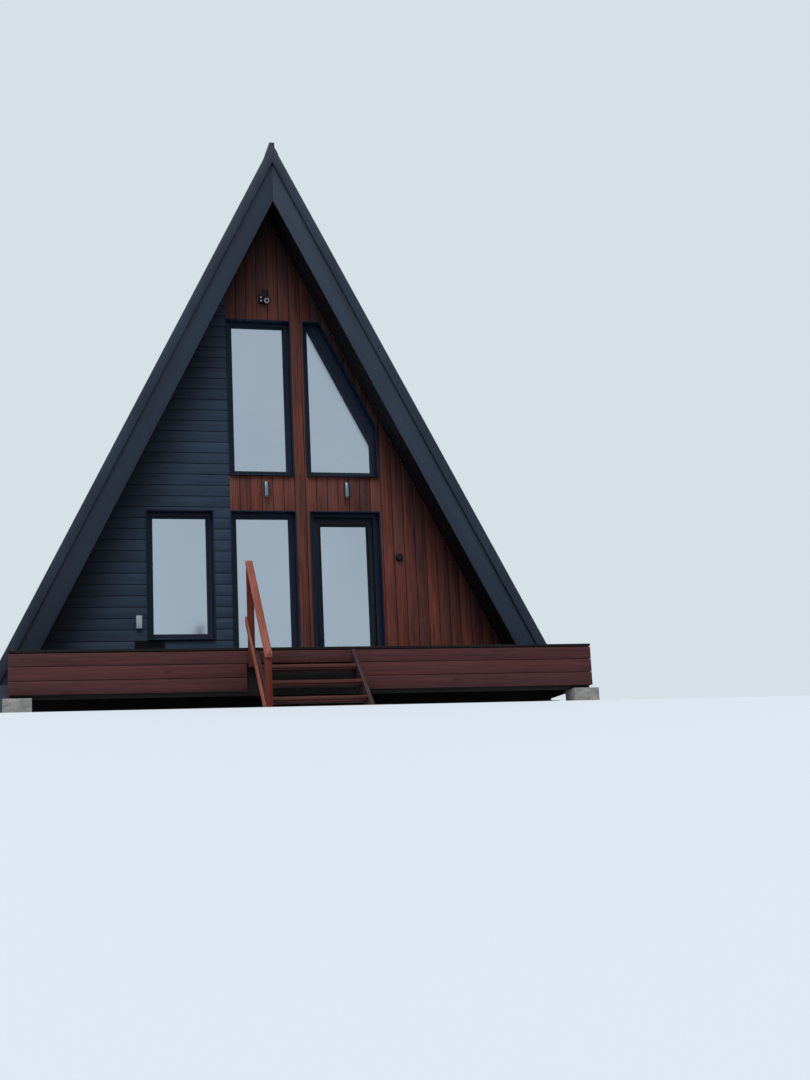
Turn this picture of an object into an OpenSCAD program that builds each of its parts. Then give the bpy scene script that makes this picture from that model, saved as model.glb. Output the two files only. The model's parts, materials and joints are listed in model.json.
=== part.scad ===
// A-frame timber cabin with a raised front terrace.
// Millimetres, +X to the right along the front, +Y into the depth, +Z up from the ground.
// The origin is on the ground under the middle of the whole footprint, on the ridge's plane.

/* [Roof] */
// Slope of both roof planes above the horizontal, in degrees
roof_pitch = 63.3; // [61:0.1:65]
// Height above the ground at which the two outer roof planes meet
ridge_h = 7960; // [7700:10:8200]
// Height of the roof's cut foot above the ground
eave_h = 640; // [600:10:700]
// Roof build-up, square to the slope, from the verge flashing to the barge board's lower edge
roof_t = 368; // [340:2:400]
// How far each barge board stands in front of its wall
overhang = 580; // [450:10:700]
// Distance between the standing seams of the roof sheet
seam_pitch = 500; // [400:10:600]
// How far the verge flashing's face strip stands in front of the barge board
verge_depth = 40; // [20:2:60]

/* [Walls and floors] */
// Length of the house from the front wall's face to the back wall's face
house_len = 7800; // [7000:50:8600]
// Thickness of the end walls behind their cladding
wall_t = 180; // [150:5:220]
// Thickness of the cladding boards
clad_t = 20; // [16:1:26]
// Ground floor surface above the terrace
floor_step = 40; // [20:5:80]
// Thickness of the ground floor
floor_t = 260; // [220:10:280]
// Upper floor surface above the terrace
upper_floor = 2490; // [2440:10:2560]
// Thickness of the upper floor
upper_floor_t = 220; // [180:10:240]

/* [Windows and door] */
// Width of the three narrow window openings
win_w = 880; // [840:10:900]
// Width of the doorway
door_w = 970; // [930:10:1000]
// Top of the ground floor openings above the terrace
head_low = 2156; // [2100:1:2200]
// Sill of the small ground floor windows above the terrace
sill_low = 437; // [420:1:520]
// Sill of the upper windows above the terrace
sill_up = 2636; // [2590:1:2650]
// Top of the upper windows above the terrace
head_up = 4830; // [4700:10:4860]
// Width of a window frame from the opening's edge to the glass
frame_w = 84; // [70:1:95]
// Face width of the door leaf's stiles
stile_w = 80; // [70:1:100]
// Width of the slanted frame member that follows the roof, from the opening's edge to the glass
slant_w = 176; // [150:2:200]

/* [Terrace] */
// Height of the terrace above the ground
deck_h = 820; // [780:10:840]
// Width of the terrace
deck_w = 6880; // [6600:20:6900]
// Depth of the terrace from its front edge to the front wall
deck_d = 2270; // [2200:10:2400]
// Thickness of the terrace boards
deck_board_t = 28; // [24:1:32]
// Height of one fascia board
fascia_h = 154; // [140:1:160]
// Open joint between two fascia boards
fascia_gap = 6; // [4:1:10]
// Height of the concrete footings
footing_h = 280; // [240:10:290]

/* [Stair] */
// Going of each tread
going = 260; // [240:5:280]
// Height of the lowest tread above the ground
lowest_tread = 160; // [140:5:190]
// Number of risers, the last one up to the terrace
risers = 4; // [3:1:5]
// Thickness of the treads
tread_t = 62; // [45:1:70]
// How far the upper tread lies lower than one riser below the terrace
flight_drop = 22; // [0:1:30]
// Section of the stair's posts
post_w = 75; // [60:5:100]
// Distance from the terrace's edge to the front of the lower post
newel_reach = 1200; // [1150:10:1300]
// Height of the lower post above the ground
newel_h = 600; // [500:10:640]
// Height of the handrail's underside above the terrace, at the upper post
rail_up = 940; // [850:10:1000]

/* [Hidden] */

// Colours of the finishes
anthracite = "#3c434d";
red_brown = "#6b3a30";
roof_grey = "#4a5460";
timber = "#b08a62";
concrete = "#9a9892";
glass_tint = "#a9bac6";
black = "#1d1f22";
lamp_grey = "#74828d";
pale_grey = "#b9bcbf";

// Roof geometry, all offsets measured square to the slope from the outer plane
sheet_off = 32;
sheet_t = 6;
seam_h = 22;
seam_w = 12;
soffit_t = 20;
drip = 20;
deck_off = sheet_off + sheet_t;
fit = 0.2;
lining_off = roof_t - drip;
slab_off = lining_off - soffit_t;
room_off = slab_off + fit;
barge_t = 32;
flash_w = 123;
flash_t = 8;
flash_return = 110;
eave_t = 20;
cap_t = 6;
cap_top_w = 70;
cap_leg = 170;
cap_rise = 8;
cap_nose = 4;

// Places along Y: everything follows from the footprint being centred on the origin
rail_nose = 25;
stair_reach = newel_reach + rail_nose;
cap_over = verge_depth + cap_nose;
depth = stair_reach + deck_d + house_len + overhang + cap_over;
deck_y = -depth / 2 + stair_reach;
wall_y = deck_y + deck_d;
barge_y = wall_y - overhang;
back_y = wall_y + house_len;
barge_back_y = back_y + overhang;
core_y = wall_y + clad_t;
room_y = core_y + wall_t;
room_back_y = back_y - clad_t - wall_t;

// Heights
floor_z = deck_h + floor_step;
upper_z = deck_h + upper_floor;
head_low_z = deck_h + head_low;
sill_low_z = deck_h + sill_low;
sill_up_z = deck_h + sill_up;
head_up_z = deck_h + head_up;
joist_h = 200;
fascia_rows = 3;
joist_low = deck_h - deck_board_t - joist_h;

// Columns of openings along X
mid_x = -600;
left_x = -1705;
door_x = 460;
slant_x = 443;
slant_right = 1438;
door_right = door_x + door_w;
mid_right = mid_x + win_w;

// Window and door sections
lining_t = 14;
lining_proud = 12;
frame_d = 74;
frame_set = 92;
frame_y = core_y + frame_set;
glass_t = 24;
bead_w = 22;
bead_set = 14;
door_gap = 5;
leaf_d = 68;
hinge_r = 9;

// Half width of the roof plane that lies off below the outer one, at height z
function half_w(z, off) = (ridge_h - off / cos(roof_pitch) - z) / tan(roof_pitch);
// Height of that plane at a distance x from the middle
function plane_z(x, off) = ridge_h - off / cos(roof_pitch) - abs(x) * tan(roof_pitch);

// Carries a drawing in X and Z through the depth from y0 to y1
module through(y0, y1) {
    translate([0, y1, 0])
        rotate([90, 0, 0])
            linear_extrude(y1 - y0)
                children();
}

// Carries a drawing in Y and Z across the width from x0 to x1
module across(x0, x1) {
    translate([x0, 0, 0])
        rotate([90, 0, 90])
            linear_extrude(x1 - x0)
                children();
}

// Front view of the right-hand slope between two offsets, mitred at the ridge
module slope(off0, off1, low = eave_h) {
    polygon([
        [0, ridge_h - off0 / cos(roof_pitch)],
        [half_w(low, off0), low],
        [half_w(low, off1), low],
        [0, ridge_h - off1 / cos(roof_pitch)]
    ]);
}

// Front view of everything under both slopes, between two heights
module under_roof(z0, z1, off = room_off) {
    top = min(z1, ridge_h - off / cos(roof_pitch));
    polygon([
        [-half_w(z0, off), z0],
        [half_w(z0, off), z0],
        [half_w(top, off), top],
        [-half_w(top, off), top]
    ]);
}

module rect(x0, z0, x1, z1) {
    translate([x0, z0])
        square([x1 - x0, z1 - z0]);
}

module to_left() {
    mirror([1, 0, 0])
        children();
}

// Openings, drawn in X and Z
module low_left_hole() {
    rect(left_x, sill_low_z, left_x + win_w, head_low_z);
}

module low_mid_hole() {
    rect(mid_x, floor_z, mid_right, head_low_z);
}

module door_hole() {
    rect(door_x, floor_z, door_right, head_low_z);
}

module up_left_hole() {
    rect(mid_x, sill_up_z, mid_right, head_up_z);
}

// The slanted window keeps this clear distance to the soffit
slant_clear = 92;
slant_off = slab_off + slant_clear;
slant_top_x = half_w(head_up_z, slant_off);
slant_low_z = plane_z(slant_right, slant_off);

module up_right_hole() {
    polygon([
        [slant_x, sill_up_z],
        [slant_right, sill_up_z],
        [slant_right, slant_low_z],
        [slant_top_x, head_up_z],
        [slant_x, head_up_z]
    ]);
}

back_up_x = -win_w / 2;

module back_low_holes() {
    for (x = [left_x, -left_x - win_w])
        rect(x, sill_low_z, x + win_w, head_low_z);
}

module back_up_hole() {
    rect(back_up_x, sill_up_z, back_up_x + win_w, head_up_z);
}

// Roof

module roof_slab() {
    through(barge_y + barge_t, barge_back_y - barge_t)
        slope(deck_off, slab_off, eave_h + eave_t);
}

module roof_right() {
    color(timber)
        roof_slab();
}

module roof_left() {
    color(timber)
        to_left()
            roof_slab();
}

// Flat sheet with upstanding seams that run up the slope
module sheet() {
    through(barge_y + barge_t, barge_back_y - barge_t)
        slope(sheet_off, deck_off);
    seam_span = barge_back_y - barge_y - 2 * flash_return;
    seam_n = round(seam_span / seam_pitch);
    for (i = [1:seam_n - 1]) {
        y = barge_y + flash_return + i * seam_span / seam_n;
        through(y - seam_w / 2, y + seam_w / 2)
            slope(sheet_off - seam_h, sheet_off);
    }
}

module roof_sheet_right() {
    color(roof_grey)
        sheet();
}

module roof_sheet_left() {
    color(roof_grey)
        to_left()
            sheet();
}

// Folded cap: a flat top on two short upstands, and a leg down each slope
module ridge_cap() {
    x = cap_top_w / 2;
    low = ridge_h - cap_leg * sin(roof_pitch);
    color(roof_grey)
        through(barge_y - cap_over, barge_back_y + cap_over)
            polygon([
                [half_w(low, -cap_t), low], [x, plane_z(x, -cap_t)], [x, ridge_h + cap_rise],
                [-x, ridge_h + cap_rise], [-x, plane_z(x, -cap_t)], [-half_w(low, -cap_t), low],
                [-half_w(low, 0), low], [0, ridge_h], [half_w(low, 0), low]
            ]);
}

module barge() {
    slope(flash_t, roof_t);
}

module barge_front_right() {
    color(anthracite)
        through(barge_y, barge_y + barge_t)
            barge();
}

module barge_front_left() {
    color(anthracite)
        through(barge_y, barge_y + barge_t)
            mirror([1, 0])
                barge();
}

module barge_back_right() {
    color(anthracite)
        through(barge_back_y - barge_t, barge_back_y)
            barge();
}

module barge_back_left() {
    color(anthracite)
        through(barge_back_y - barge_t, barge_back_y)
            mirror([1, 0])
                barge();
}

// Angle flashing over the barge board: a face strip and a return over the sheet
module verge_flashing(face_y0, face_y1, return_y0, return_y1) {
    for (side = [0, 1])
        mirror([side, 0, 0]) {
            through(face_y0, face_y1)
                slope(0, flash_w);
            through(return_y0, return_y1)
                slope(0, flash_t);
        }
}

module verge_flashings() {
    color(roof_grey) {
        verge_flashing(barge_y - verge_depth, barge_y, barge_y - verge_depth, barge_y + flash_return);
        verge_flashing(barge_back_y, barge_back_y + verge_depth,
            barge_back_y - flash_return, barge_back_y + verge_depth);
    }
}

// Boarding under both overhangs
module soffits() {
    color(red_brown)
        for (side = [0, 1], y = [[barge_y + barge_t, wall_y], [back_y, barge_back_y - barge_t]])
            mirror([side, 0, 0])
                through(y[0], y[1])
                    slope(slab_off + fit, lining_off);
}

// Boards that close the cut feet of both slopes
module eave_boards() {
    color(anthracite)
        for (side = [0, 1])
            mirror([side, 0, 0])
                through(barge_y + barge_t, barge_back_y - barge_t)
                    intersection() {
                        slope(deck_off, slab_off);
                        rect(0, eave_h, deck_w, eave_h + eave_t);
                    }
}

// Floors

module ground_floor() {
    color(timber)
        through(wall_y + clad_t, back_y - clad_t)
            under_roof(floor_z - floor_t, floor_z);
}

module upper_floor() {
    color(timber)
        through(room_y, room_back_y)
            under_roof(upper_z - upper_floor_t, upper_z);
}

beam_w = 160;
beam_x = 2700;

// Beams that carry the house from front to back on the footings
module floor_beams() {
    color(timber)
        for (x = [-beam_x, 0, beam_x])
            through(wall_y + clad_t, back_y - clad_t)
                rect(x - beam_w / 2, footing_h, x + beam_w / 2, floor_z - floor_t);
}

// Front wall, split beside and over its openings

module front_core() {
    through(core_y, room_y)
        children();
}

module wall_front_left() {
    color(timber)
        front_core()
            difference() {
                intersection() {
                    under_roof(floor_z, ridge_h);
                    rect(-deck_w, floor_z, mid_x, ridge_h);
                }
                low_left_hole();
            }
}

// The piers between the two columns of openings, one a storey
module wall_front_piers() {
    color(timber)
        front_core() {
            rect(mid_right, floor_z, door_x, head_low_z);
            rect(mid_right, sill_up_z, slant_x, head_up_z);
        }
}

module wall_front_right() {
    color(timber)
        front_core()
            intersection() {
                under_roof(floor_z, head_low_z);
                rect(door_right, floor_z, deck_w, head_low_z);
            }
}

module wall_front_band() {
    color(timber)
        front_core()
            intersection() {
                under_roof(head_low_z, sill_up_z);
                rect(mid_x, head_low_z, deck_w, sill_up_z);
            }
}

module wall_front_upper_right() {
    color(timber)
        front_core()
            difference() {
                intersection() {
                    under_roof(sill_up_z, head_up_z);
                    rect(slant_x, sill_up_z, deck_w, head_up_z);
                }
                up_right_hole();
            }
}

module wall_front_gable() {
    color(timber)
        front_core()
            intersection() {
                under_roof(head_up_z, ridge_h);
                rect(mid_x, head_up_z, deck_w, ridge_h);
            }
}

// Cladding: horizontal dark boards left of the window column, upright red-brown boards beside it

clad_gap = 12;
clad_low = deck_h + clad_gap;

module siding_dark_front() {
    color(anthracite)
        through(wall_y, core_y)
            difference() {
                intersection() {
                    under_roof(clad_low, ridge_h, lining_off);
                    rect(-deck_w, clad_low, mid_x, ridge_h);
                }
                low_left_hole();
            }
}

module siding_red_front() {
    color(red_brown)
        through(wall_y, core_y)
            difference() {
                intersection() {
                    under_roof(clad_low, ridge_h, lining_off);
                    rect(mid_x, clad_low, deck_w, ridge_h);
                }
                low_mid_hole();
                door_hole();
                up_left_hole();
                up_right_hole();
            }
}

// Back wall, split between the storeys

back_split = 160;
back_split_z = head_low_z + back_split;

module back_core() {
    through(room_back_y, back_y - clad_t)
        children();
}

module wall_back_ground() {
    color(timber)
        back_core()
            difference() {
                under_roof(floor_z, back_split_z);
                back_low_holes();
            }
}

module wall_back_upper() {
    color(timber)
        back_core()
            difference() {
                under_roof(back_split_z, ridge_h);
                back_up_hole();
            }
}

module siding_dark_back() {
    color(anthracite)
        through(back_y - clad_t, back_y)
            difference() {
                under_roof(floor_z - floor_t, ridge_h, lining_off);
                back_low_holes();
                back_up_hole();
            }
}

// Windows: a thin lining round the opening, the frame set back in it, a bead round the glass and a sill

module rect_frame(x0, z0, x1, z1, w) {
    difference() {
        rect(x0, z0, x1, z1);
        rect(x0 + w, z0 + w, x1 - w, z1 - w);
    }
}

sill_nose = 34;
sill_drop = 6;
sill_edge = 12;
sill_rise = 20;
sill_bite = 4;

// Sill of folded sheet over a wedge, let into lining and frame: it falls to a nose in front of the lining
module sill(x0, x1, z0) {
    bed = z0 + lining_t;
    front = wall_y - lining_proud;
    across(x0 + lining_t - sill_bite, x1 - lining_t + sill_bite)
        polygon([
            [frame_y + sill_bite, bed - sill_bite], [frame_y + sill_bite, bed + sill_rise],
            [front - sill_nose, z0 - sill_drop + sill_edge], [front - sill_nose, z0 - sill_drop],
            [front + sill_bite, z0 - sill_drop], [front + sill_bite, bed - sill_bite]
        ]);
}

module window(x0, z0, x1, z1) {
    frame_face = frame_w - lining_t - bead_w;
    through(wall_y - lining_proud, room_y)
        rect_frame(x0, z0, x1, z1, lining_t);
    through(frame_y, frame_y + frame_d)
        rect_frame(x0 + lining_t, z0 + lining_t, x1 - lining_t, z1 - lining_t, frame_face);
    through(frame_y + bead_set, frame_y + frame_d - bead_set)
        rect_frame(x0 + lining_t, z0 + lining_t, x1 - lining_t, z1 - lining_t, frame_w - lining_t);
    sill(x0, x1, z0);
}

module pane(x0, z0, x1, z1) {
    y = frame_y + (frame_d - glass_t) / 2;
    through(y, y + glass_t)
        rect(x0 + frame_w, z0 + frame_w, x1 - frame_w, z1 - frame_w);
}

module window_low_left() {
    color(black)
        window(left_x, sill_low_z, left_x + win_w, head_low_z);
}

module window_low_mid() {
    color(black)
        window(mid_x, floor_z, mid_right, head_low_z);
}

module window_up_left() {
    color(black)
        window(mid_x, sill_up_z, mid_right, head_up_z);
}

// Outline of the slanted window, drawn in by w on its straight sides and by ws along the slant
module slanted(w, ws) {
    left = slant_x + w;
    right = slant_right - w;
    top = head_up_z - w;
    off = slant_off + ws;
    polygon(concat(
        [[left, sill_up_z + w], [right, sill_up_z + w], [right, plane_z(right, off)]],
        half_w(top, off) > left ? [[half_w(top, off), top], [left, top]] : [[left, plane_z(left, off)]]
    ));
}

slant_bead = 46;

module window_up_right() {
    color(black) {
        through(wall_y - lining_proud, room_y)
            difference() {
                slanted(0, 0);
                slanted(lining_t, lining_t);
            }
        through(frame_y, frame_y + frame_d)
            difference() {
                slanted(lining_t, lining_t);
                slanted(frame_w - bead_w, slant_w - slant_bead);
            }
        through(frame_y + bead_set, frame_y + frame_d - bead_set)
            difference() {
                slanted(lining_t, lining_t);
                slanted(frame_w, slant_w);
            }
        sill(slant_x, slant_right, sill_up_z);
    }
}

module turned_to_back() {
    translate([0, wall_y + back_y, 0])
        mirror([0, 1, 0])
            children();
}

module windows_back() {
    color(black)
        turned_to_back() {
            for (x = [left_x, -left_x - win_w])
                window(x, sill_low_z, x + win_w, head_low_z);
            window(back_up_x, sill_up_z, back_up_x + win_w, head_up_z);
        }
}

module glass_ground() {
    color(glass_tint) {
        pane(left_x, sill_low_z, left_x + win_w, head_low_z);
        pane(mid_x, floor_z, mid_right, head_low_z);
        turned_to_back()
            for (x = [left_x, -left_x - win_w])
                pane(x, sill_low_z, x + win_w, head_low_z);
    }
}

module glass_upper() {
    y = frame_y + (frame_d - glass_t) / 2;
    color(glass_tint) {
        pane(mid_x, sill_up_z, mid_right, head_up_z);
        through(y, y + glass_t)
            slanted(frame_w, slant_w);
        turned_to_back()
            pane(back_up_x, sill_up_z, back_up_x + win_w, head_up_z);
    }
}

// Door: a glazed leaf that opens into the room, hung on the right

jamb_w = 80;
head_w = 57;
leaf_x0 = door_x + jamb_w + door_gap;
leaf_x1 = door_right - jamb_w - door_gap;
sill_h = 26;
leaf_z0 = floor_z + sill_h + door_gap;
leaf_z1 = head_low_z - head_w - door_gap;
leaf_y = room_y - leaf_d;
jamb_lead = 8;
bottom_rail = 130;
top_rail = 112;
leaf_bead = 18;
leaf_bead_set = 10;
hinge_x = leaf_x1 + door_gap / 2;
hinge_y = room_y + hinge_r;
hinge_h = 90;
hinge_in = 220;
hinge_z = [leaf_z0 + hinge_in, leaf_z1 - hinge_in];
knuckle_gap = 1;
flag_w = 45;
flag_t = 3;

// One half of a hinge: a knuckle on the axis and the flag that fixes it, side -1 to the leaf
module hinge_half(side, z) {
    translate([hinge_x, hinge_y, z])
        cylinder(h = hinge_h / 2 - knuckle_gap, r = hinge_r, $fn = 32);
    translate([hinge_x + min(0, side * flag_w), room_y, z])
        cube([flag_w, flag_t, hinge_h / 2 - knuckle_gap]);
}

module door_frame() {
    color(black) {
        through(wall_y - lining_proud, room_y)
            rect_frame(door_x, floor_z, door_right, head_low_z, lining_t);
        through(frame_y - jamb_lead, room_y)
            difference() {
                rect(door_x + lining_t, floor_z + lining_t, door_right - lining_t, head_low_z - lining_t);
                rect(door_x + jamb_w, floor_z + sill_h, door_right - jamb_w, head_low_z - head_w);
            }
        for (z = hinge_z)
            hinge_half(1, z + knuckle_gap);
    }
}

// The leaf's clear glass, drawn out by w on all sides
module leaf_glass(w = 0) {
    rect(leaf_x0 + stile_w - w, leaf_z0 + bottom_rail - w, leaf_x1 - stile_w + w, leaf_z1 - top_rail + w);
}

module door_leaf() {
    color(black) {
        through(leaf_y, leaf_y + leaf_d)
            difference() {
                rect(leaf_x0, leaf_z0, leaf_x1, leaf_z1);
                leaf_glass(leaf_bead);
            }
        through(leaf_y + leaf_bead_set, leaf_y + leaf_d - leaf_bead_set)
            difference() {
                leaf_glass(leaf_bead);
                leaf_glass();
            }
        for (z = hinge_z)
            hinge_half(-1, z - hinge_h / 2);
    }
}

module door_glass() {
    y = leaf_y + (leaf_d - glass_t) / 2;
    color(glass_tint)
        through(y, y + glass_t)
            leaf_glass();
}

handle_up = 1010;
handle_x = leaf_x0 + stile_w / 2;
rose = [28, 8, 150];
lever_r = 9;
lever_out = 50;
lever_l = 120;

// Lever on the room side, its rose on the stile
module door_handle() {
    color(pale_grey)
        translate([handle_x, leaf_y + leaf_d, floor_z + handle_up]) {
            translate([-rose.x / 2, 0, -rose.z / 2])
                cube(rose);
            translate([0, rose.y, 0])
                rotate([-90, 0, 0])
                    cylinder(h = lever_out - rose.y, r = lever_r, $fn = 32);
            translate([0, lever_out, 0])
                rotate([0, 90, 0])
                    cylinder(h = lever_l, r = lever_r, $fn = 32);
            translate([0, lever_out, 0])
                sphere(r = lever_r, $fn = 32);
        }
}

// Terrace

notch_gap = 12;
notch_x = half_w(deck_h, roof_t) - notch_gap;
notch_y = barge_y - verge_depth - notch_gap;
side_x = deck_w / 2;

module deck_boards() {
    color(red_brown)
        translate([0, 0, deck_h - deck_board_t])
            linear_extrude(deck_board_t)
                polygon([
                    [-side_x, deck_y], [side_x, deck_y], [side_x, notch_y], [notch_x, notch_y],
                    [notch_x, wall_y], [-notch_x, wall_y], [-notch_x, notch_y], [-side_x, notch_y]
                ]);
}

fascia_t = 25;
corner_gap = 1;
joist_w = 50;
joist_n = 10;

// Joists run from front to back, the outer pair only as far as the roof's feet
module deck_joists() {
    span = 2 * (notch_x - joist_w);
    color(timber) {
        for (i = [0:joist_n])
            translate([-span / 2 + i * span / joist_n - joist_w / 2, deck_y + fascia_t, joist_low])
                cube([joist_w, core_y - deck_y - fascia_t, joist_h]);
        for (x = [-side_x + fascia_t, side_x - fascia_t - joist_w])
            translate([x, deck_y + fascia_t, joist_low])
                cube([joist_w, notch_y - deck_y - fascia_t, joist_h]);
    }
}

// Deep glued beams: the front one spans from corner to corner, the back one rests on four footings
deck_beam_d = 120;
deck_beam_in = 60;
deck_beam_y = [deck_y + deck_beam_in, notch_y - deck_beam_in - deck_beam_d];

module deck_beams() {
    color(timber)
        for (y = deck_beam_y)
            translate([-side_x + fascia_t, y, footing_h])
                cube([deck_w - 2 * fascia_t, deck_beam_d, joist_low - footing_h]);
}

stair_left = -773;
stair_right = 510;

function fascia_z(row) = deck_h - deck_board_t - fascia_h - row * (fascia_h + fascia_gap);

// Three boards with open joints, the lower two broken at the stair
module fascia_front() {
    color(red_brown) {
        translate([-side_x, deck_y, fascia_z(0)])
            cube([deck_w, fascia_t, fascia_h]);
        for (row = [1, 2]) {
            translate([-side_x, deck_y, fascia_z(row)])
                cube([stair_left + side_x, fascia_t, fascia_h]);
            translate([stair_right, deck_y, fascia_z(row)])
                cube([side_x - stair_right, fascia_t, fascia_h]);
        }
    }
}

module fascia_sides() {
    color(red_brown)
        for (x = [-side_x, side_x - fascia_t], row = [0:fascia_rows - 1])
            translate([x, deck_y + fascia_t + corner_gap, fascia_z(row)])
                cube([fascia_t, notch_y - deck_y - fascia_t - corner_gap, fascia_h]);
}

footing_w = 320;
footing_in = 200;
footing_proud = 60;
footing_out = side_x + footing_proud - footing_w / 2;
front_footing_x = [-footing_out, footing_out];
inner_footing_x = [-footing_out, -footing_out / 3, footing_out / 3, footing_out];
house_footing_y = [core_y + footing_in, (wall_y + back_y) / 2, back_y - clad_t - footing_in];

module footing(x, y) {
    translate([x - footing_w / 2, y - footing_w / 2, 0])
        cube([footing_w, footing_w, footing_h]);
}

module footings() {
    color(concrete) {
        for (x = front_footing_x)
            footing(x, deck_beam_y[0] + deck_beam_d / 2);
        for (x = inner_footing_x)
            footing(x, deck_beam_y[1] + deck_beam_d / 2);
        for (x = [-beam_x, 0, beam_x], y = house_footing_y)
            footing(x, y);
    }
}

// Stair

rise = (deck_h - flight_drop - lowest_tread) / (risers - 1);
stringer_t = 45;
stringer_l = -683;
stringer_r = 460;
stringer_drop = 30;
stringer_h = 260;

module stringer_side() {
    pitch = rise / going;
    top = deck_h - stringer_drop;
    polygon([
        [deck_y, top], [deck_y, top - stringer_h],
        [deck_y - (top - stringer_h) / pitch, 0], [deck_y - top / pitch, 0]
    ]);
}

module stringers() {
    color(red_brown)
        for (x = [stringer_l, stringer_r])
            across(x, x + stringer_t)
                stringer_side();
}

tread_gap = 15;
plank_t = 40;
plank_gap = 6;
bearer_in = 14;

// Each tread is two planks over a bearer that stands back under them
module tread() {
    tread_w = stringer_r - stringer_l - stringer_t;
    tread_d = going - tread_gap;
    plank_d = (tread_d - plank_gap) / 2;
    for (y = [0, plank_d + plank_gap])
        translate([0, y, tread_t - plank_t])
            cube([tread_w, plank_d, plank_t]);
    translate([0, bearer_in, 0])
        cube([tread_w, tread_d - 2 * bearer_in, tread_t - plank_t]);
}

module treads() {
    color(red_brown)
        for (step = [1:risers - 1])
            translate([stringer_l + stringer_t, deck_y - step * going,
                deck_h - step * rise - flight_drop - tread_t])
                tread();
}

post_x = stringer_l - post_w;
newel_y = deck_y - newel_reach;
newel_mid = newel_y + post_w / 2;
post_mid = deck_y - post_w / 2;
post_hang = 235;
post_foot = deck_h - post_hang;
rail_t = 32;
rail_w = 84;
rail_fall = (deck_h + rail_up - newel_h) / (post_mid - newel_mid);

// Height of the handrail's underside at a place along the flight
function rail_under(y) = newel_h + rail_fall * (y - newel_mid);

module post_side(y, foot) {
    polygon([
        [y, foot], [y + post_w, foot], [y + post_w, rail_under(y + post_w) - fit], [y, rail_under(y) - fit]
    ]);
}

// The upper post is fixed to the terrace's face, the lower one stands on the ground
module stair_posts() {
    color(red_brown)
        across(post_x, post_x + post_w) {
            post_side(deck_y - post_w, post_foot);
            post_side(newel_y, 0);
        }
}

// Side of a board that slopes from y0, z0 to y1, z1 along its underside
module sloped_board(y0, z0, y1, z1, t) {
    lift = t * sqrt(1 + pow((z1 - z0) / (y1 - y0), 2));
    polygon([[y0, z0], [y1, z1], [y1, z1 + lift], [y0, z0 + lift]]);
}

lower_rail_t = 25;
lower_rail_h = 70;
lower_rail_up = 270;
lower_rail_foot = -55;

// A flat handrail on top of both posts, and a board on edge along their outer faces
module stair_rails() {
    side = (rail_w - post_w) / 2;
    foot_y = newel_y - rail_nose;
    color(red_brown) {
        across(post_x - side, post_x + post_w + side)
            sloped_board(foot_y, rail_under(foot_y), deck_y, rail_under(deck_y), rail_t);
        across(post_x - lower_rail_t, post_x)
            intersection() {
                translate([newel_y, 0])
                    square([newel_reach, deck_h + rail_up]);
                sloped_board(newel_y, lower_rail_foot, deck_y, deck_h + lower_rail_up, lower_rail_h);
            }
    }
}

// Fittings

lamp_r = 37;
lamp_h = 190;
lamp_mid = 60;
lamp_up = deck_h + 2437;
lamp_x = [-121, 974];
lamp_rim = 4;
lamp_well = 14;
bracket_w = 40;
bracket_h = 70;

// Tube with a light well at both ends, on a bracket
module wall_lamp(x) {
    translate([x, wall_y - lamp_mid, lamp_up - lamp_h / 2]) {
        difference() {
            cylinder(h = lamp_h, r = lamp_r, $fn = 48);
            for (z = [-1, lamp_h - lamp_well])
                translate([0, 0, z])
                    cylinder(h = lamp_well + 1, r = lamp_r - lamp_rim, $fn = 48);
        }
        translate([-bracket_w / 2, lamp_mid - bracket_w, (lamp_h - bracket_h) / 2])
            cube([bracket_w, bracket_w, bracket_h]);
    }
}

module wall_lamps() {
    color(lamp_grey)
        for (x = lamp_x)
            wall_lamp(x);
}

watch_x = -42;
watch_z = deck_h + 5095;
watch_r = 54;
watch_h = 85;
watch_tilt = 12;
lens_r = 34;
lens_well = 8;
mount_w = 84;
mount_h = 170;
mount_d = 26;
side_w = 40;
side_h = 130;
side_d = 62;
side_up = 26;
side_lap = 8;
mount_off = 10;

// Security light: a round head with a lens, tilted down, on a wall box, with a narrow lamp beside it
module security_light() {
    color(black) {
        translate([watch_x - mount_w / 2 - mount_off, wall_y - mount_d, watch_z - mount_off])
            cube([mount_w, mount_d, mount_h]);
        translate([watch_x, wall_y - mount_d + watch_r * sin(watch_tilt), watch_z])
            rotate([90 + watch_tilt, 0, 0])
                difference() {
                    cylinder(h = watch_h, r = watch_r, $fn = 64);
                    translate([0, 0, watch_h - lens_well])
                        cylinder(h = lens_well + 1, r = lens_r, $fn = 48);
                }
        translate([watch_x - watch_r - side_w, wall_y - side_d, watch_z - side_h / 2 + side_up])
            cube([side_w + side_lap, side_d, side_h]);
    }
}

box_r = 52;
box_d = 45;
box_x = 1668;
box_z = deck_h + 1525;

module junction_box() {
    color(black)
        translate([box_x, wall_y, box_z])
            rotate([90, 0, 0])
                cylinder(h = box_d, r = box_r, $fn = 64);
}

socket = [76, 55, 170];
socket_x = -1850;
socket_z = deck_h + 580;

module wall_socket() {
    color(pale_grey)
        translate([socket_x, wall_y - socket.y, socket_z])
            cube(socket);
}

vent = [380, 14, 105];
vent_x = -1870;
vent_z = deck_h + 325;
vent_rim = 16;
louvres = 4;
slot_h = 10;
slot_d = 8;

module vent_grille() {
    pitch = (vent.z - 2 * slot_h) / louvres;
    color(black)
        translate([vent_x, wall_y - vent.y, vent_z])
            difference() {
                cube(vent);
                for (i = [0:louvres - 1])
                    translate([vent_rim, -1, slot_h + i * pitch + pitch / 4])
                        cube([vent.x - 2 * vent_rim, slot_d + 1, slot_h]);
            }
}

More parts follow.
